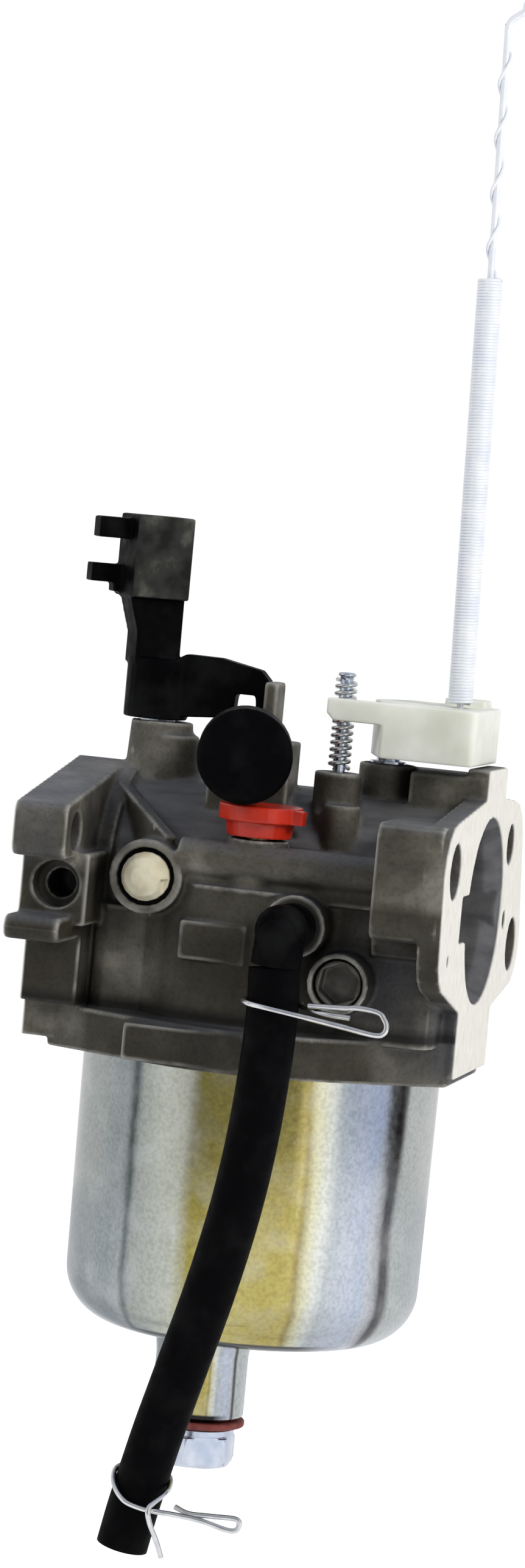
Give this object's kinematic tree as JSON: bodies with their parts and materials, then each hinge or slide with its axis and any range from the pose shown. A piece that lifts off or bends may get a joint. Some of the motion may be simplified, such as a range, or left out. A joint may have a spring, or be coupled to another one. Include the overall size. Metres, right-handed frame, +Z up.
{
  "type": "float carburetor",
  "caption": "Float-bowl carburetor with choke and throttle levers, governor link rod and spring, adjusters, and a hanging fuel hose.",
  "frame": {"origin": "centre of the engine outlet in the engine-flange face", "axes": "+X with the air toward the engine, out of the engine flange; -Y toward the fuel inlet side; +Z up along the shafts"},
  "size_m": [0.0727, 0.0806, 0.2562],
  "materials": {
    "cast_alloy": "as-cast, worn, with machined faces",
    "plated_bowl": "drawn steel, bright zinc with a yellow passivate tint",
    "zinc_steel": "bright zinc plate",
    "dull_steel": "dull, oily steel",
    "spring_steel": "bright spring wire",
    "brass": "turned brass",
    "nylon": "natural nylon, slightly translucent",
    "black_plastic": "moulded black nylon",
    "float_plastic": "moulded black float plastic",
    "red_plastic": "moulded red plastic",
    "cream_plastic": "moulded cream acetal",
    "black_rubber": "matt black nitrile rubber",
    "red_fibre": "red-brown fibre ring",
    "felt": "oiled grey felt"
  },
  "bodies": {
    "carburetor": {"carburetor_body": "cast_alloy", "float_bowl": "plated_bowl", "bowl_gasket": "black_rubber", "bowl_bolt_seal": "red_fibre", "bowl_bolt": "zinc_steel", "float_pin": "zinc_steel", "needle_seat": "brass", "main_nozzle": "brass", "main_jet": "brass", "pilot_jet_seal": "black_rubber", "pilot_jet": "cream_plastic", "throttle_shaft_seal": "felt", "choke_shaft_seal": "felt", "idle_screw_spring": "spring_steel", "primer_nipple": "brass", "primer_port_cap": "black_rubber", "passage_plug": "dull_steel", "fuel_elbow": "black_plastic", "fuel_hose": "black_rubber", "hose_clamp_upper": "spring_steel", "hose_clamp_lower": "spring_steel"},
    "throttle": {"throttle_shaft": "zinc_steel", "throttle_plate": "brass", "throttle_plate_screw_upper": "brass", "throttle_plate_screw_lower": "brass", "throttle_lever": "nylon"},
    "choke": {"choke_shaft": "zinc_steel", "choke_plate": "brass", "choke_plate_screw_upper": "brass", "choke_plate_screw_lower": "brass", "choke_lever": "black_plastic"},
    "float_arm": {"float": "float_plastic"},
    "inlet_needle": {"float_needle": "zinc_steel"},
    "idle_screw": {"idle_speed_screw": "zinc_steel"},
    "mixture": {"mixture_screw": "brass", "mixture_limiter_cap": "red_plastic"},
    "governor_link": {"governor_link_rod": "zinc_steel", "throttle_return_spring": "spring_steel"}
  },
  "joints": [
    {"name": "throttle_turn", "type": "hinge", "parent": "carburetor", "child": "throttle", "pos_m": [-0.0187, 0, 0], "axis": [0, 0, 1], "range_deg": [0, 75]},
    {"name": "choke_turn", "type": "hinge", "parent": "carburetor", "child": "choke", "pos_m": [-0.0588, 0, 0], "axis": [0, 0, 1], "range_deg": [0, 75]},
    {"name": "float_swing", "type": "hinge", "parent": "carburetor", "child": "float_arm", "pos_m": [-0.032, -0.0225, -0.027], "axis": [1, 0, 0], "range_deg": [0, 12]},
    {"name": "needle_lift", "type": "slide", "parent": "carburetor", "child": "inlet_needle", "axis": [0, 0, 1], "range_m": [0, 0.0012]},
    {"name": "idle_screw_turn", "type": "hinge", "parent": "carburetor", "child": "idle_screw", "pos_m": [-0.0251, -0.0088, 0.02], "axis": [0, 0, 1], "range_deg": [-180, 180]},
    {"name": "mixture_turn", "type": "hinge", "parent": "carburetor", "child": "mixture", "pos_m": [-0.0348, -0.0206, 0.01], "axis": [0, 0, 1], "range_deg": [-45, 45]},
    {"name": "link_swivel", "type": "hinge", "parent": "throttle", "child": "governor_link", "pos_m": [-0.0069, -0.003, 0.0333], "axis": [-0.0244, 0, 0.9997], "range_deg": [-90, 90]}
  ],
  "couplings": [
    {"joint": "needle_lift", "follows": "float_swing", "m_per_rad": 0.0054}
  ]
}
